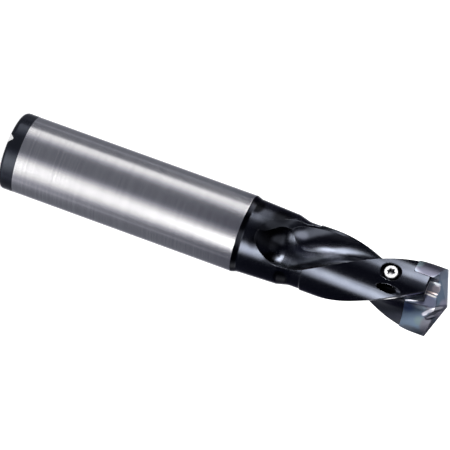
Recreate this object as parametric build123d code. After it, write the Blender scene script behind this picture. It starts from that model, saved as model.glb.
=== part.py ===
from build123d import *
import math
import os

# Drill with an exchangeable cutting head, in millimetres.
# +Z runs along the axis towards the tip, with the origin in the middle of the shank's rear face.
# Azimuths are in degrees, measured from +X towards +Y. The helix is left-hand, as pictured.

# Turned shape of the holder
shank_radius = 8.0
shank_corner = 1.0
shank_end_z = 49.9
neck_start_z = 51.0
neck_start_radius = 7.62
neck_end_z = 59.2
neck_end_radius = 7.27
neck_end_rounding = 2.0
groove_start_z = 61.6
groove_radius = 6.63
groove_rounding = 4.0
body_start_z = 63.9
body_step = 0.18
body_radius = 6.83
seat_z = 84.75
prong_end_z = 88.4
prong_end_chamfer = 0.3

# Flutes: ball-nosed cutter paths, two deep ones side by side, a shallow one that relieves the
# heel and a small one that breaks the heel's edge. Lags are azimuths behind the first deep path.
# A path is a helix that may end in a run parallel to the axis, and then lifts out of the neck.
flute_lead = 75.0
flute_start_z = 61.05
flute_start_azimuth = 85.5
deep_ball_radius = 4.85
deep_ball_centre = 7.85
deep_straight_run = 1.6
wide_ball_lag = 8.0
wide_start_z = 63.0
heel_ball_radius = 6.5
heel_ball_centre = 11.6
heel_ball_lag = 21.3
heel_start_z = 58.6
edge_ball_radius = 3.0
edge_ball_centre = 9.55
edge_ball_lag = 43.5
edge_start_z = 66.0
lift_angle = 48.0
lift_length = 14.0

# Rear end of the shank
slot_width = 2.1
slot_depth = 1.2
slot_bottom_radius = 0.35
slot_azimuth = 75.0
inlet_radius = 2.5
inlet_depth = 30.0
inlet_chamfer = 0.5

# Coolant bores from the inlet to the two lands
trunk_radius = 1.3
trunk_end_z = 64.0
outlet_radius = 0.85
outlet_slope = 20.0
outlet_exit_z = 81.4
outlet_azimuth = 95.2

# Rebates in the head, and the holder's prongs that stand in them
torque_wall_x = 4.45
rebate_floor_y = 3.42
rebate_corner = 1.45
rebate_edge_x = 1.2
rebate_edge_slope = 13.4
prong_gap = 0.03
prong_edge_x = -1.2
prong_edge_slope = 8.5

# Stub of the head, and the screw that clamps it
stub_radius = 2.3
stub_length = 8.6
stub_bore_depth = 9.4
stub_chamfer = 0.4
screw_azimuth = 65.5
screw_z = 80.7
screw_radius = 1.5
screw_face = 6.6
screw_bevel = 0.15
screw_cone_start = 2.6
screw_point = 1.6
counterbore_floor = 5.7
counterbore_width = 3.5
counterbore_length = 4.15
counterbore_chamfer = 0.1
socket_radius = 0.875
socket_waist = 0.635
socket_lobe = 0.2
socket_depth = 1.1

# Cutting head
head_radius = 7.0
lead_half_angle = 43.8
margin_width = 1.2
margin_relief = 0.1
wing_angle = 75.0
tip_z = 92.72
point_angle = 143.0
lip_azimuth = -4.0
first_clearance = 8.0
second_clearance = 18.0
second_clearance_start = 0.6
heel_clearance = 38.0
heel_clearance_start = 0.5
front_bevel = 31.0
front_bevel_start = 0.2
wing_corner = 0.5
channel_edge_x = 1.4
channel_floor_x = 1.75
channel_floor_y = 3.2
channel_rounding = 0.2
gash_slope = 38.0
gash_start_x = 0.95
gash_rise = 13.0
gash_floor_y = 0.35
gash_floor_width = 0.6
gash_inner_lean = 12.0
gash_outer_lean = 25.0

# How far a cutting shape runs past the surface that it clears
overcut = 2.0
# Larger than anything that is cut away
clear = 30.0


def half_turn(shape):
    """The same shape, half a turn round the axis."""
    return Rotation(0, 0, 180) * shape


def polar(radius, azimuth):
    """Point in the XY plane at a radius and an azimuth."""
    angle = math.radians(azimuth)
    return (radius * math.cos(angle), radius * math.sin(angle))


def deep_azimuth(z):
    """Azimuth of the deep cutter's path at height z; the helix is left-hand, so it falls with z."""
    return flute_start_azimuth - 360.0 * (z - flute_start_z) / flute_lead


def cutter_path(ball_radius, ball_centre, azimuth, start_z, straight_run):
    """Space swept by a ball that follows the helix from beyond the tip down to start_z, goes on
    parallel to the axis over the straight run, and then lifts out backwards."""
    height = tip_z + ball_radius + overcut - start_z
    helix = Helix(flute_lead, height, ball_centre, lefthand=True)
    ring = Plane(helix @ 0, z_dir=helix % 0) * Circle(ball_radius)
    down = (Align.CENTER, Align.CENTER, Align.MAX)
    at_start = Pos(ball_centre, 0, 0)
    at_lift = Pos(ball_centre, 0, -straight_run)
    space = sweep(ring, path=helix, is_frenet=True)
    space += at_start * Sphere(ball_radius)
    if straight_run:
        space += at_start * Cylinder(ball_radius, straight_run, align=down)
        space += at_lift * Sphere(ball_radius)
    space += at_lift * Rotation(0, -lift_angle, 0) * Cylinder(ball_radius, lift_length, align=down)
    return Pos(0, 0, start_z) * Rotation(0, 0, azimuth) * space


def flute_cuts():
    """Everything that is milled away for both flutes."""
    deep = cutter_path(
        deep_ball_radius, deep_ball_centre, flute_start_azimuth, flute_start_z, deep_straight_run
    )
    wide_azimuth = deep_azimuth(wide_start_z) - wide_ball_lag
    wide = cutter_path(deep_ball_radius, deep_ball_centre, wide_azimuth, wide_start_z, 0)
    heel_azimuth = deep_azimuth(heel_start_z) - heel_ball_lag
    heel = cutter_path(heel_ball_radius, heel_ball_centre, heel_azimuth, heel_start_z, 0)
    edge_azimuth = deep_azimuth(edge_start_z) - edge_ball_lag
    edge = cutter_path(edge_ball_radius, edge_ball_centre, edge_azimuth, edge_start_z, 0)
    cuts = [deep, wide, heel, edge]
    return cuts + [half_turn(cut) for cut in cuts]


def turned_blank():
    """Holder before milling, as one revolved profile."""
    outline = Polyline(
        (0, 0),
        (shank_radius, 0),
        (shank_radius, shank_end_z),
        (neck_start_radius, neck_start_z),
        (neck_end_radius, neck_end_z),
        (groove_radius, groove_start_z),
        (groove_radius, body_start_z),
        (body_radius, body_start_z + body_step),
        (body_radius, prong_end_z - prong_end_chamfer),
        (body_radius - prong_end_chamfer, prong_end_z),
        (0, prong_end_z),
        (0, 0),
    )
    face = make_face(outline)
    roundings = [
        ((shank_radius, 0), shank_corner),
        ((neck_end_radius, neck_end_z), neck_end_rounding),
        ((groove_radius, groove_start_z), groove_rounding),
    ]
    for (radius, z), rounding in roundings:
        corner = face.vertices().sort_by_distance((radius, z, 0))[0]
        face = fillet(corner, rounding)
    return revolve(Plane.XZ * face, Axis.Z)


def driving_slot():
    """V-slot with a rounded bottom across the rear face."""
    outline = Polyline(
        (-slot_width, -slot_depth),
        (0, slot_depth),
        (slot_width, -slot_depth),
        (-slot_width, -slot_depth),
    )
    face = make_face(outline)
    bottom = face.vertices().sort_by_distance((0, slot_depth, 0))[0]
    face = fillet(bottom, slot_bottom_radius)
    return Rotation(0, 0, slot_azimuth) * extrude(Plane.YZ * face, clear, both=True)


def coolant_bores():
    """Inlet, trunk and the two slanting outlets that break out on the lands."""
    start = (Align.CENTER, Align.CENTER, Align.MIN)
    bores = Cylinder(inlet_radius, inlet_depth, align=start)
    bores += Cone(inlet_radius + inlet_chamfer, inlet_radius, inlet_chamfer, align=start)
    bores += Cylinder(trunk_radius, trunk_end_z, align=start)
    fork_z = outlet_exit_z - body_radius / math.tan(math.radians(outlet_slope))
    length = 2 * overcut + body_radius / math.sin(math.radians(outlet_slope))
    outlet = Rotation(0, outlet_slope, 0) * Cylinder(outlet_radius, length, align=start)
    outlet = Pos(0, 0, fork_z) * Rotation(0, 0, outlet_azimuth) * outlet
    return bores + outlet + half_turn(outlet)


def rebate(floor_y):
    """Space beside one torque wall: it stands on the seat and opens towards the heel, where its
    floor falls away a little."""
    fall = clear * math.tan(math.radians(rebate_edge_slope))
    outline = Polyline(
        (torque_wall_x, floor_y),
        (torque_wall_x, clear),
        (rebate_edge_x - clear, clear),
        (rebate_edge_x - clear, floor_y - fall),
        (rebate_edge_x, floor_y),
        (torque_wall_x, floor_y),
    )
    face = make_face(outline)
    inner = face.vertices().sort_by_distance((torque_wall_x, floor_y, 0))[0]
    face = fillet(inner, rebate_corner)
    return Pos(0, 0, seat_z) * extrude(face, clear)


def prong_edge_cut():
    """Takes the thin edge off the prong where its flute wall would meet the rebate's floor."""
    block = Box(clear, clear, 2 * clear, align=(Align.MAX, Align.MIN, Align.CENTER))
    return Pos(prong_edge_x, 0, seat_z) * Rotation(0, prong_edge_slope, 0) * block


def across_screw(shape):
    """Lays a shape that stands on +Z along the screw's axis, z = 0 on the drill's axis."""
    return Pos(0, 0, screw_z) * Rotation(0, 0, screw_azimuth) * Rotation(0, 90, 0) * shape


def screw_hole():
    """Tapped hole at its thread's outer size, with an oblong counterbore."""
    start = (Align.CENTER, Align.CENTER, Align.MIN)
    hole = Cylinder(screw_radius, clear, align=start)
    oblong = SlotOverall(counterbore_length, counterbore_width)
    hole += Pos(0, 0, counterbore_floor) * extrude(oblong, clear)
    return across_screw(hole)


def counterbore_rim(body):
    """Edges round the counterbore's mouth, which lie on the land."""
    mouth = Vector(*polar(body_radius, screw_azimuth), screw_z)
    rim = []
    for edge in body.edges():
        radii = [math.hypot(point.X, point.Y) for point in (edge @ 0, edge @ 0.5, edge @ 1)]
        on_land = all(abs(radius - body_radius) < 0.01 for radius in radii)
        if on_land and (edge.center() - mouth).length < counterbore_length * 0.7:
            rim.append(edge)
    return rim


def stub_bore():
    """Bore for the head's stub, chamfered where it meets the seat."""
    end = (Align.CENTER, Align.CENTER, Align.MAX)
    bore = Cylinder(stub_radius, stub_bore_depth, align=end)
    bore += Cone(stub_radius, stub_radius + stub_chamfer, stub_chamfer, align=end)
    return Pos(0, 0, seat_z) * bore


def holder():
    """Steel body: shank, neck, fluted body and the two prongs that drive the head."""
    prong = rebate(rebate_floor_y + prong_gap) - prong_edge_cut()
    above_seat = Pos(0, 0, seat_z) * extrude(Circle(clear / 2), clear)
    body = turned_blank() - (above_seat - prong - half_turn(prong))
    for cut in flute_cuts():
        body -= cut
    body -= driving_slot()
    body -= coolant_bores()
    body -= stub_bore()
    body -= screw_hole()
    return chamfer(counterbore_rim(body), counterbore_chamfer)


def point_cuts():
    """Half-spaces above the two clearance planes of each lip, the plane that lowers its heel and
    the bevel in front of it."""
    drop = math.tan(math.radians(90 - point_angle / 2))
    first = math.tan(math.radians(first_clearance))
    second = math.tan(math.radians(second_clearance))
    facing = (Align.CENTER, Align.CENTER, Align.MIN)
    block = Box(2 * clear, 2 * clear, clear, align=facing)
    first_plane = Plane((0, 0, tip_z), z_dir=(drop, first, 1))
    edge_z = tip_z - first * second_clearance_start
    second_plane = Plane((0, second_clearance_start, edge_z), z_dir=(drop, second, 1))
    heel = math.tan(math.radians(heel_clearance))
    heel_plane = Plane((0, heel_clearance_start, tip_z), z_dir=(0, heel, 1))
    front = math.tan(math.radians(front_bevel))
    front_plane = Plane((0, -front_bevel_start, tip_z), z_dir=(drop, -front, 1))
    lip = Rotation(0, 0, lip_azimuth)
    planes = (first_plane, second_plane, heel_plane, front_plane)
    cuts = [lip * (plane * block) for plane in planes]
    return cuts + [half_turn(cut) for cut in cuts]


def gash():
    """Web thinning in front of the lip on the -X side: a channel between two leaning walls, whose
    floor faces the flute and runs outwards and back from the point."""
    start_z = tip_z - gash_start_x * math.tan(math.radians(90 - point_angle / 2))
    inner = -clear * math.tan(math.radians(gash_inner_lean))
    outer = gash_floor_width + clear * math.tan(math.radians(gash_outer_lean))
    outline = Polyline((0, 0), (gash_floor_width, 0), (outer, clear), (inner, clear), (0, 0))
    slope = math.radians(gash_slope)
    rise = math.tan(math.radians(gash_rise))
    along = (-math.sin(slope), rise, -math.cos(slope))
    outward = (-math.cos(slope), 0, math.sin(slope))
    plane = Plane((-gash_start_x, gash_floor_y, start_z), x_dir=outward, z_dir=along)
    return extrude(plane * make_face(outline), clear / 4, both=True)


def margin_relief_cut():
    """Thin helical shell cut from the +X wing behind its margin."""
    margin_start = deep_azimuth(seat_z) + lead_half_angle
    first = margin_start + math.degrees(margin_width / head_radius)
    last = first + wing_angle
    inside = head_radius - margin_relief
    outside = head_radius + overcut
    outline = [
        CenterArc((0, 0), inside, first, wing_angle),
        Line(polar(inside, last), polar(outside, last)),
        CenterArc((0, 0), outside, first, wing_angle),
        Line(polar(outside, first), polar(inside, first)),
    ]
    sector = make_face(outline).face()
    height = tip_z - seat_z
    twist = deep_azimuth(tip_z) - deep_azimuth(seat_z)
    shell = Solid.extrude_linear_with_rotation(sector, (0, 0, 0), (0, 0, height), twist)
    return Pos(0, 0, seat_z) * shell


def wing_corner_cut():
    """Rounding of the +X wing's corner between the seat and the torque wall."""
    square = Rectangle(wing_corner, wing_corner, align=(Align.MIN, Align.MIN))
    kept = Pos(wing_corner, wing_corner) * Circle(wing_corner)
    cut = extrude(Plane.XZ * (square - kept), -clear)
    return Pos(torque_wall_x, rebate_floor_y, seat_z) * cut


def coolant_channel():
    """Channel sunk in the rebate's floor, from a short ramp to the rounding at the torque wall."""
    outline = Polyline(
        (channel_edge_x, rebate_floor_y),
        (channel_floor_x, channel_floor_y),
        (torque_wall_x, channel_floor_y),
        (torque_wall_x, clear),
        (channel_edge_x, clear),
        (channel_edge_x, rebate_floor_y),
    )
    face = make_face(outline)
    for x, rounding in ((channel_floor_x, channel_rounding), (torque_wall_x, rebate_corner)):
        corner = face.vertices().sort_by_distance((x, channel_floor_y, 0))[0]
        face = fillet(corner, rounding)
    return Pos(0, 0, seat_z) * extrude(face, clear)


def head():
    """Carbide cutting head with its stub."""
    start = (Align.CENTER, Align.CENTER, Align.MIN)
    body = Cylinder(head_radius, tip_z - seat_z, align=start)
    stub = Cylinder(stub_radius, stub_length, align=(Align.CENTER, Align.CENTER, Align.MAX))
    stub = chamfer(stub.edges().group_by(Axis.Z)[0], stub_chamfer)
    body = Pos(0, 0, seat_z) * (body + stub)
    above = Pos(0, 0, seat_z) * Cylinder(head_radius + overcut, clear, align=start)
    for cut in flute_cuts():
        body -= cut & above
    for cut in point_cuts():
        body -= cut
    cuts = [
        rebate(rebate_floor_y),
        wing_corner_cut(),
        coolant_channel(),
        margin_relief_cut(),
        gash(),
    ]
    for cut in cuts:
        body -= cut
        body -= half_turn(cut)
    body -= across_screw(screw_tip())
    return body


def screw_tip():
    """Cone point of the clamp screw, which is also the dimple that it leaves in the stub."""
    tip_radius = screw_radius - (screw_cone_start - screw_point)
    length = screw_cone_start - screw_point
    cone = Cone(tip_radius, screw_radius, length, align=(Align.CENTER, Align.CENTER, Align.MIN))
    return Pos(0, 0, screw_point) * cone


def six_lobe_socket():
    """Six-lobed drive recess."""
    lobes = PolarLocations(socket_radius - socket_lobe, 6) * Circle(socket_lobe)
    outline = Circle((socket_radius + socket_waist) / 2) + lobes
    outline -= PolarLocations(socket_waist + socket_lobe, 6, start_angle=30) * Circle(socket_lobe)
    return extrude(outline, -socket_depth)


def clamp_screw():
    """Headless screw with a cone point and a six-lobed socket."""
    length = screw_face - screw_cone_start
    body = Cylinder(screw_radius, length, align=(Align.CENTER, Align.CENTER, Align.MIN))
    body = chamfer(body.edges().group_by(Axis.Z)[-1], screw_bevel)
    screw = Pos(0, 0, screw_cone_start) * body + screw_tip()
    screw -= Pos(0, 0, screw_face) * six_lobe_socket()
    return across_screw(screw)


def main():
    os.makedirs("parts", exist_ok=True)
    pieces = {"holder": holder(), "drill_head": head(), "clamp_screw": clamp_screw()}
    for name, shape in pieces.items():
        export_step(shape, f"parts/{name}.step")


if __name__ == "__main__":
    main()
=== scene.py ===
"""Replaceable tip drill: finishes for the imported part, and the studio that it stands in.

Everything is in metres in the part's own frame. +Z is the drill's axis, and the drill stands on the
rear face of its shank. The photograph's camera looks from +Y and is rolled, so that the drill lies
across the picture with its tip at the right.
"""

import math

import bpy
import numpy as np
from mathutils import Matrix, Vector

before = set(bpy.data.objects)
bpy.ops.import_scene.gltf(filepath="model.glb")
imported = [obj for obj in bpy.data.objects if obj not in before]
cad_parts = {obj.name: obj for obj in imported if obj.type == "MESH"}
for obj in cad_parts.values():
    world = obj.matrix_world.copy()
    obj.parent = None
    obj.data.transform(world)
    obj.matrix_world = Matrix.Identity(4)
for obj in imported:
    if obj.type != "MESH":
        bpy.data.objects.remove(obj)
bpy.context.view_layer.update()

bl_info = {
    "name": "Replaceable tip drill",
    "version": (1, 0, 0),
    "blender": (4, 5, 0),
    "location": "View3D > Sidebar > Drill",
    "description": "Finishes, studio and camera for a drill with an exchangeable cutting head",
    "category": "Object",
}

MM = 0.001

# Width and height of the picture in pixels
PICTURE = 450


# Inputs of a Mix node, which share their names and so go by index, and its mixed colour
FACTOR, NUMBER_A, NUMBER_B, COLOUR_A, COLOUR_B = 0, 2, 3, 6, 7
MIXED_COLOUR = 2


def linear(code):
    """An sRGB hex colour as linear RGBA."""
    values = [int(code[i : i + 2], 16) / 255 for i in (1, 3, 5)]
    curved = [v / 12.92 if v <= 0.04045 else ((v + 0.055) / 1.055) ** 2.4 for v in values]
    return (*curved, 1.0)


def add_node(tree, kind, inputs=None, stops=(), **settings):
    """Adds a node of that kind with its settings, and sets its inputs to values or links them to
    outputs. A colour ramp also takes its (position, linear colour) stops, lowest first."""
    node = tree.nodes.new(kind)
    if stops:
        # A new ramp has two stops already
        for _ in stops[2:]:
            node.color_ramp.elements.new(0.5)
        for element, (position, colour) in zip(node.color_ramp.elements, stops):
            element.position = position
            element.color = colour
    for name, value in settings.items():
        setattr(node, name, value)
    for socket, value in (inputs or {}).items():
        if isinstance(value, bpy.types.NodeSocket):
            tree.links.new(value, node.inputs[socket])
        else:
            node.inputs[socket].default_value = value
    return node


def new_material(name):
    """An empty material, its node tree and its output node."""
    material = bpy.data.materials.new(name)
    material.use_nodes = True
    material.node_tree.nodes.clear()
    return material, material.node_tree, add_node(material.node_tree, "ShaderNodeOutputMaterial")


def finish_node(name, material):
    """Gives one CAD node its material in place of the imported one."""
    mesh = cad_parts[name].data
    mesh.materials.clear()
    mesh.materials.append(material)


# Finishes

# Part of the noise's range over which a pattern goes from its first colour to its last
NOISE_RANGE = (0.3, 0.7)

# Height in metres that the grinding marks are drawn with
MARK_DEPTH = 0.01 * MM

# Bare steel on worn edges, whose light colour is also a painted highlight along the edges: its
# colour, how much of it shows, and the cosines between the rounded normal and the face's own where
# the wear starts and where it is full
EDGE_WEAR_AND_HIGHLIGHT = ("#B9BAC0", 0.12, 0.99, 0.93)

# Painted shade in the holes and inside corners of each piece: how far other surfaces count in
# millimetres, the shade's colour, and the shares of free sky that give it in full and not at all
HOLDER_RECESS_SHADE = (1.2, "#08080B", 0.3, 0.75)
HEAD_RECESS_SHADE = (0.4, "#101216", 0.3, 0.6)
SCREW_RECESS_SHADE = (0.7, "#1E1E22", 0.3, 0.85)

# Half width in millimetres of a tint that reaches right across the drill
ALL = 20.0

# Painted shade and painted highlights on both sides of the holder, laid over the blackening: the
# darker patches are painted shade and the lighter ones painted highlights. Name, middle and half
# widths along X, Y and Z in millimetres, turn about Y in degrees, share that is full, colour, how
# much shows
HOLDER_PAINTED_LIGHT_AND_SHADE = [
    ("pocket at the flute's start", (1.9, 3.5, 55.9), (4.6, ALL, 4.4), 0, 0.35, "#15161A", 0.9),
    ("neck beside the pocket", (5.6, 4.8, 56.7), (2.3, ALL, 2.7), 0, 0.4, "#111216", 0.92),
    ("neck at the shank", (6.0, 4.8, 51.1), (1.9, ALL, 2.0), 0, 0.6, "#0D0E11", 0.97),
    ("neck, ring at the shank", (0, 0, 50.2), (ALL, ALL, 1.0), 0, 0.6, "#121317", 0.85),
    ("neck's cone, low side", (-6.0, 4.1, 60.1), (1.7, ALL, 1.6), 0, 0.7, "#131418", 0.9),
    ("neck before the pocket", (-1.1, 7.4, 53.3), (1.7, ALL, 1.6), 0, 0.3, "#1A1B20", 0.85),
    ("pocket, dark end of the spot", (-2.5, 4.4, 57.2), (1.4, ALL, 1.4), 0, 0.5, "#101114", 0.95),
    ("pocket, spot", (-2.0, 3.8, 59.3), (1.2, ALL, 1.1), 0, 0.4, "#54575F", 1.0),
    ("flute, start of the first streak", (2.2, 3.2, 58.9), (1.4, ALL, 1.3), 0, 0.3, "#26282D", 0.65),
    ("flute, first streak", (3.4, 2.8, 61.3), (1.6, ALL, 1.7), 0, 0.35, "#5F626D", 0.9),
    ("flute, second streak", (2.4, 1.8, 66.8), (1.7, ALL, 2.2), 0, 0.2, "#575A63", 0.7),
    ("flute, low wall", (1.3, 2.9, 69.2), (1.3, 1.8, 3.6), 0, 0.2, "#6C707A", 0.8),
    ("flute, low wall at its start", (0.6, 2.9, 62.6), (1.5, 1.8, 3.2), 0, 0.35, "#70747E", 0.8),
    ("coolant outlet", (-0.62, 5.3, 81.3), (1.2, 1.5, 3.5), 0, 0.88, "#050507", 1.0),
    ("prong's edge, painted highlight", (-0.05, 6.5, 86.1), (0.2, 0.6, 2.6), 30, 0.6, "#FAFAFC", 1.0),
    ("land's edge, painted highlight", (-2.6, 5.6, 81.8), (0.17, 1.2, 2.7), 30, 0.6, "#FAFAFC", 1.0),
]

# Painted shade in the counterbore round the screw, on the screw's side only, in the same way
SCREW_SIDE_PAINTED_SHADE = [
    ("counterbore", (2.6, 5.4, 80.6), (2.1, 2.2, 2.45), 0, 0.8, "#08080B", 1.0),
]

# Middle of the screw's outer face, the distances from it where the bright face ends and where its
# near-black rim is full, all in millimetres, and the rim's colour
SCREW_FACE = (2.74, 6.01, 80.7)
SCREW_RIM = (1.2, 1.38)
SCREW_BLACK = "#242428"

# Drifts of the coating's colour, on both sides of the head, in the same way. Some are painted light
# instead:
# the gash's bright sides, the exposed strip's bright edge and the coolant channel's bright bars are
# painted highlights, and the gash's shaded side is painted shade
HEAD_COATING_AND_PAINTED_LIGHT = [
    ("flank", (3.2, 2.5, 91.0), (3.8, ALL, 1.5), 0, 0.7, "#76889C", 0.8),
    ("land", (6.2, 3.0, 87.3), (2.2, ALL, 3.4), 0, 0.65, "#4F4F5B", 1.0),
    ("land, end at the holder", (6.5, 3.0, 85.0), (1.3, ALL, 1.3), 0, 0.3, "#74858A", 0.8),
    ("flank, outer end", (5.6, 3.0, 90.2), (1.2, ALL, 0.9), 0, 0.4, "#63758C", 0.8),
    ("rake", (-4.8, 0.3, 88.0), (3.4, ALL, 5.0), 0, 0.7, "#6C7D90", 1.0),
    ("rake, middle", (-4.4, 0.6, 88.4), (1.3, ALL, 1.4), 0, 0.3, "#748583", 0.7),
    ("rake, near the lip", (-4.9, 0.9, 90.2), (3.0, ALL, 1.8), 0, 0.5, "#706F78", 0.9),
    ("rake, bottom", (-6.8, -0.4, 87.6), (1.2, ALL, 3.6), 0, 0.5, "#5E6570", 0.9),
    ("rake, deep end", (-2.5, 1.9, 85.4), (1.5, ALL, 2.2), 0, 0.3, "#47587F", 0.9),
    ("rake, inner end", (-1.95, 2.3, 88.2), (0.8, 0.8, 1.5), 0, 0.4, "#8D9CAA", 0.8),
    ("web", (-0.3, 3.1, 88.9), (1.9, 0.8, 2.7), 0, 0.6, "#525566", 0.95),
    ("web, beside the prong", (-0.8, 3.0, 87.6), (0.9, 0.7, 1.3), 0, 0.4, "#282A36", 0.9),
    ("exposed strip", (-1.6, 2.9, 85.8), (1.1, 0.6, 2.0), 16, 0.6, "#3C4250", 0.9),
    ("exposed strip, bright edge", (-1.2, 2.9, 85.9), (0.2, 0.6, 1.7), 16, 0.5, "#C9CAD2", 1.0),
    # Painted highlights: the bright bars of the coolant channel
    ("coolant channel, floor", (2.6, 3.2, 89.9), (1.1, 0.5, 1.1), 0, 0.5, "#BDB6BC", 0.9),
    ("coolant channel, far wall", (3.55, 3.3, 89.4), (0.28, 0.7, 1.5), 0, 0.6, "#B9BEC2", 1.0),
    ("coolant channel, near wall", (1.6, 3.3, 89.4), (0.22, 0.7, 1.5), 0, 0.6, "#DDCBC5", 1.0),
    ("coolant channel, near edge", (1.05, 3.4, 89.4), (0.24, 0.7, 1.4), 0, 0.6, "#BDBAB8", 1.0),
    ("chisel edge", (0.3, 1.6, 91.9), (1.2, ALL, 0.8), 0, 0.3, "#A9A9BE", 0.8),
    # Painted shade and painted highlights on the sides of the gash
    ("gash, shaded side", (-2.0, 1.5, 90.8), (0.35, ALL, 1.9), 50, 0.5, "#33353F", 0.8),
    ("gash, low side", (-2.9, 1.0, 90.35), (0.2, ALL, 1.0), 40, 0.5, "#C0C0CC", 0.9),
    ("gash, bright side", (-1.75, 2.0, 90.15), (0.36, ALL, 2.3), 37, 0.55, "#E8E8F0", 1.0),
    ("gash, bright end", (-2.75, 1.8, 89.2), (0.4, ALL, 0.8), 40, 0.5, "#E4E4EE", 1.0),
    ("gash, bright side's tip", (-0.95, 2.0, 91.2), (0.32, ALL, 1.3), 36, 0.6, "#FCFCFF", 1.0),
]


def both_sides(tree):
    """Place in the part's frame, turned half round the axis for faces that look towards -Y, so that
    a pattern repeats on both sides of the drill."""
    coordinates = add_node(tree, "ShaderNodeTexCoord")
    facing = add_node(tree, "ShaderNodeSeparateXYZ", {"Vector": coordinates.outputs["Normal"]})
    side = add_node(tree, "ShaderNodeMath", {0: facing.outputs["Y"]}, operation="SIGN").outputs[0]
    turn = add_node(tree, "ShaderNodeCombineXYZ", {"X": side, "Y": side, "Z": 1.0}).outputs[0]
    return add_node(
        tree,
        "ShaderNodeVectorMath",
        {0: coordinates.outputs["Object"], 1: turn},
        operation="MULTIPLY",
    ).outputs[0]


def clouded(tree, place, per_mm, detail, colours):
    """A colour that drifts between the given ones in soft clouds, so many to the millimetre."""
    clouds = add_node(
        tree, "ShaderNodeTexNoise", {"Vector": place, "Scale": per_mm / MM, "Detail": detail}
    )
    positions = np.linspace(*NOISE_RANGE, len(colours)).tolist()
    return add_node(
        tree,
        "ShaderNodeValToRGB",
        {"Fac": clouds.outputs["Fac"]},
        stops=[(position, tuple(colour)) for position, colour in zip(positions, colours)],
    ).outputs[0]


def grinding_marks(tree, place, along, around, detail):
    """Height of the fine marks that run round the drill: how many there are to the millimetre along
    its axis, and how many across it."""
    stretched = add_node(
        tree,
        "ShaderNodeMapping",
        {"Vector": place, "Scale": (around / MM, around / MM, along / MM)},
    )
    return add_node(
        tree, "ShaderNodeTexNoise", {"Vector": stretched.outputs[0], "Scale": 1.0, "Detail": detail}
    ).outputs["Fac"]


def ground_band(tree, place, props):
    """1 on the skin of the shank between the band's two heights, and 0 elsewhere."""
    height = add_node(tree, "ShaderNodeSeparateXYZ", {"Vector": place}).outputs["Z"]
    flat = add_node(tree, "ShaderNodeVectorMath", {0: place, 1: (1, 1, 0)}, operation="MULTIPLY")
    radius = add_node(tree, "ShaderNodeVectorMath", {0: flat.outputs[0]}, operation="LENGTH")
    tests = (
        (height, "GREATER_THAN", props.band_start),
        (height, "LESS_THAN", props.band_end),
        (radius.outputs["Value"], "GREATER_THAN", props.band_radius),
    )
    band = 1.0
    for value, test, limit in tests:
        inside = add_node(tree, "ShaderNodeMath", {0: value, 1: limit}, operation=test)
        both = {0: band, 1: inside.outputs[0]}
        band = add_node(tree, "ShaderNodeMath", both, operation="MULTIPLY").outputs[0]
    return band


def tinted(tree, place, colour, tints):
    """Lays soft oval patches over a colour, which paint shade and highlights as well as tints. Each
    has its name, its middle and its half widths along X, Y and Z in millimetres, its turn about Y in
    degrees, the share of it that is full before it fades, its colour, and how much of it shows."""
    for _, middle, half, turn, full, code, strength in tints:
        oval = add_node(
            tree,
            "ShaderNodeMapping",
            {
                "Vector": place,
                "Location": [value * MM for value in middle],
                "Rotation": (0, math.radians(turn), 0),
                "Scale": [value * MM for value in half],
            },
            vector_type="TEXTURE",
        )
        reach = add_node(tree, "ShaderNodeVectorMath", {0: oval.outputs[0]}, operation="LENGTH")
        cover = add_node(
            tree,
            "ShaderNodeMapRange",
            {"Value": reach.outputs["Value"], "From Min": full, "To Min": strength, "To Max": 0.0},
            interpolation_type="SMOOTHSTEP",
        )
        colour = add_node(
            tree,
            "ShaderNodeMix",
            {FACTOR: cover.outputs[0], COLOUR_A: colour, COLOUR_B: linear(code)},
            data_type="RGBA",
        ).outputs[MIXED_COLOUR]
    return colour


def worn_and_highlit_edges(tree, colour, edges):
    """Bares a little metal along sharp edges, where the rounded normal leaves the face's own; its
    light colour is also a painted highlight along those edges.
    """
    bare_and_lit, shown, start, full = EDGE_WEAR_AND_HIGHLIGHT
    face = add_node(tree, "ShaderNodeNewGeometry").outputs["Normal"]
    match = add_node(tree, "ShaderNodeVectorMath", {0: edges, 1: face}, operation="DOT_PRODUCT")
    cover = add_node(
        tree,
        "ShaderNodeMapRange",
        {
            "Value": match.outputs["Value"],
            "From Min": full,
            "From Max": start,
            "To Min": shown,
            "To Max": 0.0,
        },
    )
    return add_node(
        tree,
        "ShaderNodeMix",
        {FACTOR: cover.outputs[0], COLOUR_A: colour, COLOUR_B: linear(bare_and_lit)},
        data_type="RGBA",
    ).outputs[MIXED_COLOUR]


def painted_recess_shade(tree, colour, recess):
    """Paints shade into a colour in holes and sharp inside corners. The recess is how
    far other surfaces count in millimetres, the dark colour, and the shares of free sky that give
    the dark colour and the full one."""
    reach, dark, closed, clear = recess
    free = add_node(
        tree, "ShaderNodeAmbientOcclusion", {"Distance": reach * MM}, samples=8, only_local=True
    )
    cover = add_node(
        tree,
        "ShaderNodeMapRange",
        {"Value": free.outputs["AO"], "From Min": closed, "From Max": clear},
    )
    return add_node(
        tree,
        "ShaderNodeMix",
        {FACTOR: cover.outputs[0], COLOUR_A: linear(dark), COLOUR_B: colour},
        data_type="RGBA",
    ).outputs[MIXED_COLOUR]


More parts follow.
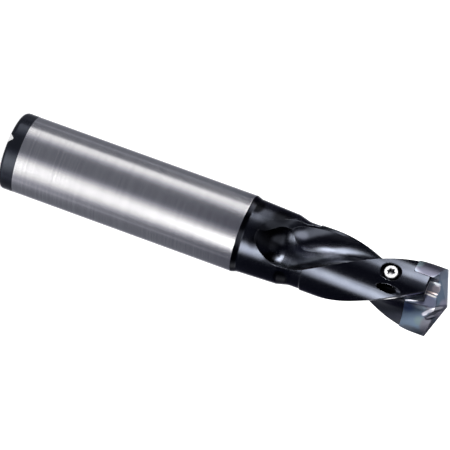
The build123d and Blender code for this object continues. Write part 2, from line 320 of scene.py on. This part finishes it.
def blackened_steel(props):
    """Tool steel, hot blackened after polishing: a near-black metal that mirrors softly. The shank
    is ground back to bright metal between two heights, round its outside only."""
    material, tree, output = new_material("tool steel, blackened and ground")
    place = add_node(tree, "ShaderNodeTexCoord").outputs["Object"]
    band = ground_band(tree, place, props)
    # Grinding marks run round the shank: 0.12 mm apart along it, and 25 mm long
    marks = grinding_marks(tree, place, along=8.0, around=0.04, detail=3.0)
    crests = list(zip(NOISE_RANGE, (tuple(props.ground_dark), tuple(props.ground_light))))
    bright = add_node(tree, "ShaderNodeValToRGB", {"Fac": marks}, stops=crests).outputs[0]
    # Blackening is a little uneven, in soft clouds about 3 mm across
    black = clouded(tree, place, 0.33, 4.0, (props.black_dark, props.black_light))
    # Painted shade and painted highlights over the blackening, repeated on both sides
    black = tinted(tree, both_sides(tree), black, HOLDER_PAINTED_LIGHT_AND_SHADE)
    # Painted shade in the counterbore on the screw's side
    black = tinted(tree, place, black, SCREW_SIDE_PAINTED_SHADE)
    edges = add_node(tree, "ShaderNodeBevel", {"Radius": props.edge_radius}, samples=6).outputs[0]
    # Light worn edges, partly bare steel and partly a painted highlight
    black = worn_and_highlit_edges(tree, black, edges)
    # Painted shade in the holder's holes and inside corners
    black = painted_recess_shade(tree, black, HOLDER_RECESS_SHADE)
    colour = add_node(
        tree, "ShaderNodeMix", {FACTOR: band, COLOUR_A: black, COLOUR_B: bright}, data_type="RGBA"
    )
    rough = add_node(
        tree,
        "ShaderNodeMix",
        {FACTOR: band, NUMBER_A: props.black_roughness, NUMBER_B: props.ground_roughness},
    )
    bump = add_node(
        tree,
        "ShaderNodeBump",
        {"Height": marks, "Strength": props.black_marks, "Distance": MARK_DEPTH, "Normal": edges},
    )
    shader = add_node(
        tree,
        "ShaderNodeBsdfPrincipled",
        {
            "Base Color": colour.outputs[MIXED_COLOUR],
            "Metallic": 1.0,
            "Roughness": rough.outputs[0],
            "Normal": bump.outputs[0],
        },
    )
    tree.links.new(shader.outputs[0], output.inputs["Surface"])
    return material


def coated_carbide(props):
    """Ground carbide with a thin hard coating: blue-grey and satin, with fine grinding lines. The
    coating's thickness drifts, so its colour does too, and painted highlights and painted shade lie
    over it."""
    material, tree, output = new_material("carbide, coated")
    place = add_node(tree, "ShaderNodeTexCoord").outputs["Object"]
    # The coating drifts in clouds about 4 mm across
    coats = (props.coat_blue, props.coat_grey, props.coat_violet)
    colour = clouded(tree, place, 0.25, 3.0, coats)
    # Drifts of the coating's colour, with painted highlights and painted shade among them
    colour = tinted(tree, both_sides(tree), colour, HEAD_COATING_AND_PAINTED_LIGHT)
    # Painted shade in the head's holes and inside corners
    colour = painted_recess_shade(tree, colour, HEAD_RECESS_SHADE)
    # Grinding lines 0.05 mm apart are too fine to show, so they are drawn 0.15 mm apart
    marks = grinding_marks(tree, place, along=6.5, around=0.3, detail=2.0)
    edges = add_node(tree, "ShaderNodeBevel", {"Radius": props.edge_radius}, samples=6).outputs[0]
    bump = add_node(
        tree,
        "ShaderNodeBump",
        {"Height": marks, "Strength": props.coat_marks, "Distance": MARK_DEPTH, "Normal": edges},
    )
    shader = add_node(
        tree,
        "ShaderNodeBsdfPrincipled",
        {
            "Base Color": colour,
            "Metallic": 1.0,
            "Roughness": props.coat_roughness,
            "Normal": bump.outputs[0],
        },
    )
    tree.links.new(shader.outputs[0], output.inputs["Surface"])
    return material


def bright_steel(props):
    """Turned steel screw: a bright face with a fine grain, with painted shade in its socket."""
    material, tree, output = new_material("steel, bright turned")
    place = add_node(tree, "ShaderNodeTexCoord").outputs["Object"]
    # The grain of the turned face is about 0.5 mm across
    face = clouded(tree, place, 2.0, 2.0, (props.screw_dark, props.screw_light))
    # Only the face is bright: its bevel and its side are painted near black, as dark as the holder
    middle = [value * MM for value in SCREW_FACE]
    reach = add_node(tree, "ShaderNodeVectorMath", {0: place, 1: middle}, operation="DISTANCE")
    start, full = SCREW_RIM
    rim = add_node(
        tree,
        "ShaderNodeMapRange",
        {"Value": reach.outputs["Value"], "From Min": start * MM, "From Max": full * MM},
    )
    colour = add_node(
        tree,
        "ShaderNodeMix",
        {FACTOR: rim.outputs[0], COLOUR_A: face, COLOUR_B: linear(SCREW_BLACK)},
        data_type="RGBA",
    )
    # Painted shade in the screw's socket and other recesses
    colour = painted_recess_shade(tree, colour.outputs[MIXED_COLOUR], SCREW_RECESS_SHADE)
    shader = add_node(
        tree,
        "ShaderNodeBsdfPrincipled",
        {"Base Color": colour, "Metallic": 1.0, "Roughness": props.screw_roughness},
    )
    tree.links.new(shader.outputs[0], output.inputs["Surface"])
    return material


# Studio

WHITE = (1.0, 1.0, 1.0, 1.0)

# Glow that the floor adds to its lit colour where it is seen, which brings it up to white
FLOOR_GLOW = 0.75

# Glow of the tent's cloth low down and higher up, and the elevations in degrees between which it
# goes from one to the other
TENT_CLOTH = (0.26, 0.055, -13, -9)

# Colour of the tent at each glow: the unlit cloth is a little blue, and the lit cards are white
TENT_TINTS = [(0.05, "#B8BAFC"), (0.2, "#E0E4F4"), (0.7, "#ECECFA"), (1.0, "#FFFFFF")]

# Elevation in degrees where the tent's rows end, their number, and the steps round each row
TENT_TOP = 89.9
TENT_ROWS = 240
TENT_STEPS = 480

# Floor: radii in metres of its rings, the first of them all but closed, and the steps round it
FLOOR_RINGS = (1e-5, 0.5, 3.0)
FLOOR_STEPS = 64

# What the light tent shows to gloss, as soft-edged cards on the inside of a ball. Each has four
# azimuths and four elevations in degrees, where its glow starts, is full, starts to fade and ends.
CARDS = [
    # name, azimuths from +X towards +Y, elevations, glow
    ("side strip, rear half", (84, 124, 127, 173), (-70, -35, -13.5, -9), 1.17),
    ("side strip, front half", (107, 129, 131, 157), (-10.0, -5.9, -3.3, 1.5), 15.0),
    ("upper strip", (2, 9, 12, 50), (-42, -24, -11, -7.5), 1.1),
    ("upper lamp, low part", (-17, -4, 3, 18), (-9.2, -7.4, -6.5, -5), 2.0),
    ("upper lamp, side part", (12, 23, 30, 46), (-5.5, -3.5, 3, 8), 10.0),
    ("upper lamp, high part", (-20, -3, 10, 26), (-3.5, -1, 9, 26), 12.0),
    ("upper lamp, fading side", (28, 45, 50, 70), (-8, -4, 5, 16), 0.5),
    ("front lamp", (78, 98, 118, 145), (8, 26, 62, 80), 2.0),
    ("edge lamp", (185, 215, 226, 236), (3, 10, 16, 26), 1.4),
    ("back wall", (235, 262, 278, 305), (-90, -40, 30, 90), 1.2),
    ("upper edge of the tent", (331, 335, 336, 340), (-40, -30, -12, -9), 0.25),
    ("lower edge of the tent", (174, 177, 179, 182), (-40, -30, -12, -9), 0.22),
    ("board below", (90, 120, 170, 205), (-80, -60, -30, -16), 0.5),
]


def reads_white(tree):
    """1 for what the camera, gloss and glass see, and 0 for light on its way to a matt surface."""
    path = add_node(tree, "ShaderNodeLightPath")
    seen = path.outputs["Is Camera Ray"]
    for kind in ("Is Glossy Ray", "Is Transmission Ray"):
        seen = add_node(
            tree, "ShaderNodeMath", {0: seen, 1: path.outputs[kind]}, operation="MAXIMUM"
        ).outputs[0]
    return seen


def white_floor():
    """Matt white board. It reads as white to the camera and in reflections, and keeps a shadow."""
    material, tree, output = new_material("board, matt white")
    matt = add_node(tree, "ShaderNodeBsdfDiffuse", {"Color": linear("#F4F4F4")})
    glow = add_node(tree, "ShaderNodeEmission", {"Color": WHITE, "Strength": FLOOR_GLOW})
    both = add_node(tree, "ShaderNodeAddShader", {0: matt.outputs[0], 1: glow.outputs[0]})
    mix = add_node(
        tree,
        "ShaderNodeMixShader",
        {0: reads_white(tree), 1: matt.outputs[0], 2: both.outputs[0]},
    )
    tree.links.new(mix.outputs[0], output.inputs["Surface"])
    return material


def white_world(props):
    """World of even soft light, which reads as white to the camera and in reflections."""
    world = bpy.data.worlds.new("studio")
    world.use_nodes = True
    tree = world.node_tree
    tree.nodes.clear()
    strength = add_node(
        tree,
        "ShaderNodeMix",
        {FACTOR: reads_white(tree), NUMBER_A: props.soft_light, NUMBER_B: 1.0},
    )
    light = add_node(
        tree, "ShaderNodeBackground", {"Color": WHITE, "Strength": strength.outputs[0]}
    )
    output = add_node(tree, "ShaderNodeOutputWorld")
    tree.links.new(light.outputs[0], output.inputs["Surface"])
    bpy.context.scene.world = world


def smooth(x, start, end):
    """0 before start, 1 after end, and 3t^2 - 2t^3 between."""
    t = np.clip((x - start) / (end - start), 0, 1)
    return t * t * (3 - 2 * t)


def tent_glow(azimuth, elevation):
    """Glow of the tent's wall: the cloth, which is lighter low down, plus each card's level times
    its soft rise and fall across azimuth and elevation. Azimuths repeat every 360 degrees."""
    low, high, start, end = TENT_CLOTH
    glow = low + (high - low) * smooth(elevation, start, end)
    for _, across, height, level in CARDS:
        middle = (across[0] + across[3]) / 2
        turned = (azimuth - middle + 180) % 360 - 180 + middle
        wide = smooth(turned, *across[:2]) * (1 - smooth(turned, *across[2:]))
        tall = smooth(elevation, *height[:2]) * (1 - smooth(elevation, *height[2:]))
        glow = glow + level * wide * tall
    return glow


def tent_material():
    """The tent's cloth glows as its point attribute says."""
    material, tree, output = new_material("light tent")
    level = add_node(tree, "ShaderNodeAttribute", attribute_name="glow").outputs["Fac"]
    tint = add_node(
        tree,
        "ShaderNodeValToRGB",
        {"Fac": level},
        stops=[(position, linear(code)) for position, code in TENT_TINTS],
    )
    glow = add_node(tree, "ShaderNodeEmission", {"Color": tint.outputs[0], "Strength": level})
    tree.links.new(glow.outputs[0], output.inputs["Surface"])
    return material


def surface_object(name, points, faces, material):
    """A mesh object from arrays of points and faces."""
    mesh = bpy.data.meshes.new(name)
    mesh.from_pydata(points.tolist(), [], faces.tolist())
    mesh.materials.append(material)
    mesh.polygons.foreach_set("use_smooth", np.ones(len(faces), bool))
    thing = bpy.data.objects.new(name, mesh)
    bpy.context.scene.collection.objects.link(thing)
    return thing


def turned_grid(profile, count):
    """Surface of revolution: the profile's (radius, height) points turned round the Z axis in equal
    steps. Returns the points and the four-sided faces, each running on to the next step."""
    angles = np.linspace(0, 2 * np.pi, count, endpoint=False)
    radius, height = np.asarray(profile, float).T
    x = radius[:, None] * np.cos(angles)
    y = radius[:, None] * np.sin(angles)
    z = np.repeat(height[:, None], count, axis=1)
    points = np.stack([x, y, z], axis=-1).reshape(-1, 3)
    row, step = np.meshgrid(np.arange(len(radius) - 1), np.arange(count), indexing="ij")
    after = (step + 1) % count
    near, far = row * count, (row + 1) * count
    faces = np.stack([near + step, near + after, far + after, far + step], axis=-1).reshape(-1, 4)
    return points, faces


def build_tent(props):
    """The light tent: a ball round the drill, which only the metal's gloss sees. Each of its points
    holds the glow of its own azimuth and elevation."""
    middle = props.tent_middle
    elevation = np.radians(np.linspace(-TENT_TOP, TENT_TOP, TENT_ROWS))
    radius, height = props.tent_radius * np.cos(elevation), props.tent_radius * np.sin(elevation)
    points, faces = turned_grid(np.stack([radius, middle + height], axis=-1), TENT_STEPS)
    tent = surface_object("light_tent", points, faces, tent_material())
    x, y, z = points.T
    azimuth = np.degrees(np.arctan2(y, x))
    elevation = np.degrees(np.arctan2(z - middle, np.hypot(x, y)))
    glow = tent.data.attributes.new("glow", "FLOAT", "POINT")
    glow.data.foreach_set("value", tent_glow(azimuth, elevation).astype(np.float32))
    tent.visible_camera = False
    tent.visible_diffuse = False
    tent.visible_transmission = False
    tent.visible_shadow = False
    return tent


def hang_lamp(props):
    """The round soft lamp overhead, turned towards the middle of the drill."""
    lamp = bpy.data.lights.new("overhead", "AREA")
    lamp.shape = "DISK"
    lamp.size = props.lamp_size
    lamp.energy = props.lamp_power
    overhead = bpy.data.objects.new("overhead", lamp)
    overhead.location = props.lamp_place
    aim = Vector(props.lamp_target) - Vector(props.lamp_place)
    overhead.rotation_euler = aim.to_track_quat("-Z", "Y").to_euler()
    bpy.context.scene.collection.objects.link(overhead)


class DrillFinish(bpy.types.PropertyGroup):
    """Finishes of the three pieces."""

    edge_radius: bpy.props.FloatProperty(
        name="Edge rounding",
        description="Radius of the smallest edges, where light catches",
        default=0.1 * MM,
        unit="LENGTH",
    )
    band_start: bpy.props.FloatProperty(
        name="Ground band from",
        description="Height where the bright ground band starts",
        default=3.12 * MM,
        unit="LENGTH",
    )
    band_end: bpy.props.FloatProperty(
        name="Ground band to",
        description="Height where the bright ground band ends",
        default=49.9 * MM,
        unit="LENGTH",
    )
    band_radius: bpy.props.FloatProperty(
        name="Ground band beyond",
        description="Distance from the axis beyond which the shank is ground, just under its skin",
        default=7.9 * MM,
        unit="LENGTH",
    )
    ground_light: bpy.props.FloatVectorProperty(
        name="Ground steel, light",
        description="Colour of the crests of the grinding marks",
        default=linear("#D2D1D2"),
        subtype="COLOR",
        size=4,
        min=0,
        max=1,
    )
    ground_dark: bpy.props.FloatVectorProperty(
        name="Ground steel, dark",
        description="Colour of the bottoms of the grinding marks",
        default=linear("#C0BFC2"),
        subtype="COLOR",
        size=4,
        min=0,
        max=1,
    )
    ground_roughness: bpy.props.FloatProperty(
        name="Ground roughness",
        description="Roughness of the ground band",
        default=0.2,
        min=0,
        max=1,
        subtype="FACTOR",
    )
    black_light: bpy.props.FloatVectorProperty(
        name="Blackened steel, light",
        description="Lighter colour of the blackening",
        default=linear("#45484F"),
        subtype="COLOR",
        size=4,
        min=0,
        max=1,
    )
    black_dark: bpy.props.FloatVectorProperty(
        name="Blackened steel, dark",
        description="Darker colour of the blackening",
        default=linear("#3D4048"),
        subtype="COLOR",
        size=4,
        min=0,
        max=1,
    )
    black_roughness: bpy.props.FloatProperty(
        name="Blackened roughness",
        description="Roughness of the blackened steel",
        default=0.2,
        min=0,
        max=1,
        subtype="FACTOR",
    )
    black_marks: bpy.props.FloatProperty(
        name="Holder's marks",
        description="How much the holder's grinding marks catch the light",
        default=0.06,
        min=0,
        max=1,
        subtype="FACTOR",
    )
    coat_blue: bpy.props.FloatVectorProperty(
        name="Coating, blue",
        description="Bluest tint of the coating",
        default=linear("#7C93A8"),
        subtype="COLOR",
        size=4,
        min=0,
        max=1,
    )
    coat_grey: bpy.props.FloatVectorProperty(
        name="Coating, grey",
        description="Middle tint of the coating",
        default=linear("#82858F"),
        subtype="COLOR",
        size=4,
        min=0,
        max=1,
    )
    coat_violet: bpy.props.FloatVectorProperty(
        name="Coating, violet",
        description="Most violet tint of the coating",
        default=linear("#8C8698"),
        subtype="COLOR",
        size=4,
        min=0,
        max=1,
    )
    coat_roughness: bpy.props.FloatProperty(
        name="Coating roughness",
        description="Roughness of the coated carbide",
        default=0.42,
        min=0,
        max=1,
        subtype="FACTOR",
    )
    coat_marks: bpy.props.FloatProperty(
        name="Coating's marks",
        description="How much the head's grinding lines catch the light",
        default=0.1,
        min=0,
        max=1,
        subtype="FACTOR",
    )
    screw_light: bpy.props.FloatVectorProperty(
        name="Screw, light",
        description="Lighter colour of the screw",
        default=linear("#E2E1E0"),
        subtype="COLOR",
        size=4,
        min=0,
        max=1,
    )
    screw_dark: bpy.props.FloatVectorProperty(
        name="Screw, dark",
        description="Darker colour of the screw",
        default=linear("#CBCACA"),
        subtype="COLOR",
        size=4,
        min=0,
        max=1,
    )
    screw_roughness: bpy.props.FloatProperty(
        name="Screw roughness",
        description="Roughness of the screw",
        default=0.3,
        min=0,
        max=1,
        subtype="FACTOR",
    )


class DrillStudio(bpy.types.PropertyGroup):
    """Light and camera."""

    soft_light: bpy.props.FloatProperty(
        name="Soft light",
        description="Strength of the even light from all round",
        default=0.7,
        min=0,
    )
    tent_radius: bpy.props.FloatProperty(
        name="Tent radius",
        description="Radius of the light tent round the drill",
        default=300 * MM,
        unit="LENGTH",
    )
    tent_middle: bpy.props.FloatProperty(
        name="Tent middle",
        description="Height of the light tent's middle",
        default=60.60 * MM,
        unit="LENGTH",
    )
    lamp_power: bpy.props.FloatProperty(
        name="Lamp power",
        description="Power of the soft lamp overhead",
        default=3.0,
        min=0,
        unit="POWER",
    )
    lamp_size: bpy.props.FloatProperty(
        name="Lamp size",
        description="Width of the round lamp overhead",
        default=600 * MM,
        unit="LENGTH",
    )
    lamp_place: bpy.props.FloatVectorProperty(
        name="Lamp place",
        description="Where the lamp hangs in the drill's frame",
        default=(250 * MM, 350 * MM, 900 * MM),
        subtype="XYZ",
        unit="LENGTH",
    )
    lamp_target: bpy.props.FloatVectorProperty(
        name="Lamp target",
        description="Point of the drill's frame that the lamp is turned towards",
        default=(0, 0, 50 * MM),
        subtype="XYZ",
        unit="LENGTH",
    )
    distance: bpy.props.FloatProperty(
        name="Camera distance",
        description="Distance from the camera to the drill",
        default=800 * MM,
        unit="LENGTH",
    )
    elevation: bpy.props.FloatProperty(
        name="Camera elevation",
        description="How far the camera stands towards the drill's tip from square on",
        default=math.radians(9.87),
        unit="ROTATION",
    )
    roll: bpy.props.FloatProperty(
        name="Camera roll",
        description="How far below the horizontal the drill's tip points in the picture",
        default=math.radians(19.93),
        unit="ROTATION",
    )
    pixels_per_mm: bpy.props.FloatProperty(
        name="Pixels per millimetre",
        description="Scale of the picture at the drill's axis",
        default=5.0535,
    )
    centre: bpy.props.FloatVectorProperty(
        name="Picture centre",
        description="Point of the drill's frame in the middle of the picture",
        default=(0.26 * MM, 0, 45.60 * MM),
        subtype="XYZ",
        unit="LENGTH",
    )


class DRILL_OT_holder(bpy.types.Operator):
    """Finish the holder: blackened steel with a bright ground shank"""

    bl_idname = "drill.holder"
    bl_label = "Finish the holder"

    def execute(self, context):
        finish_node("holder", blackened_steel(context.scene.drill_finish))
        return {"FINISHED"}


class DRILL_OT_head(bpy.types.Operator):
    """Finish the cutting head: coated carbide"""

    bl_idname = "drill.head"
    bl_label = "Finish the cutting head"

    def execute(self, context):
        finish_node("drill_head", coated_carbide(context.scene.drill_finish))
        return {"FINISHED"}


class DRILL_OT_screw(bpy.types.Operator):
    """Finish the clamp screw: bright turned steel"""

    bl_idname = "drill.screw"
    bl_label = "Finish the clamp screw"

    def execute(self, context):
        finish_node("clamp_screw", bright_steel(context.scene.drill_finish))
        return {"FINISHED"}


class DRILL_OT_stage(bpy.types.Operator):
    """Build the studio: white floor, soft light and a light tent that only gloss sees"""

    bl_idname = "drill.stage"
    bl_label = "Build the studio"

    def execute(self, context):
        props = context.scene.drill_studio
        rings = [(radius, 0.0) for radius in FLOOR_RINGS]
        floor = surface_object("floor", *turned_grid(rings, FLOOR_STEPS), white_floor())
        floor.visible_glossy = False
        tent = build_tent(props)
        white_world(props)
        hang_lamp(props)
        context.scene.view_settings.view_transform = "Standard"
        return {"FINISHED"}


class DRILL_OT_camera(bpy.types.Operator):
    """Place the camera of the photograph"""

    bl_idname = "drill.camera"
    bl_label = "Place the camera"

    def execute(self, context):
        props = context.scene.drill_studio
        lens = bpy.data.cameras.new("camera")
        lens.sensor_width = 36.0
        lens.sensor_fit = "HORIZONTAL"
        focal_pixels = props.pixels_per_mm * props.distance / MM
        lens.lens = focal_pixels / PICTURE * lens.sensor_width
        lens.clip_start = 0.01
        lens.clip_end = 10.0
        camera = bpy.data.objects.new("camera", lens)
        tilt, roll = props.elevation, props.roll
        back = Vector((0, math.cos(tilt), math.sin(tilt)))
        along = Vector((0, -math.sin(tilt), math.cos(tilt)))
        across = Vector((1, 0, 0))
        right = math.cos(roll) * along + math.sin(roll) * across
        up = math.cos(roll) * across - math.sin(roll) * along
        turn = Matrix((right, up, back)).transposed()
        place = Vector(props.centre) + props.distance * back
        camera.matrix_world = Matrix.Translation(place) @ turn.to_4x4()
        context.scene.collection.objects.link(camera)
        context.scene.camera = camera
        return {"FINISHED"}


class DRILL_PT_panel(bpy.types.Panel):
    """Sidebar panel with every step"""

    bl_idname = "DRILL_PT_panel"
    bl_label = "Replaceable tip drill"
    bl_space_type = "VIEW_3D"
    bl_region_type = "UI"
    bl_category = "Drill"

    def draw(self, context):
        layout = self.layout
        for operator in OPERATORS:
            layout.operator(operator.bl_idname)
        for group in (context.scene.drill_finish, context.scene.drill_studio):
            box = layout.box()
            for name in group.bl_rna.properties.keys():
                if name not in ("rna_type", "name"):
                    box.prop(group, name)


OPERATORS = (DRILL_OT_holder, DRILL_OT_head, DRILL_OT_screw, DRILL_OT_stage, DRILL_OT_camera)
CLASSES = (DrillFinish, DrillStudio, *OPERATORS, DRILL_PT_panel)


def register():
    """Adds the classes and the two groups of settings."""
    for item in CLASSES:
        bpy.utils.register_class(item)
    bpy.types.Scene.drill_finish = bpy.props.PointerProperty(type=DrillFinish)
    bpy.types.Scene.drill_studio = bpy.props.PointerProperty(type=DrillStudio)


def unregister():
    """Takes them away again."""
    del bpy.types.Scene.drill_studio
    del bpy.types.Scene.drill_finish
    for item in reversed(CLASSES):
        bpy.utils.unregister_class(item)


def main():
    """Finishes the three pieces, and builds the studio."""
    register()
    bpy.ops.drill.holder()
    bpy.ops.drill.head()
    bpy.ops.drill.screw()
    bpy.ops.drill.stage()
    bpy.ops.drill.camera()


if __name__ == "__main__":
    main()
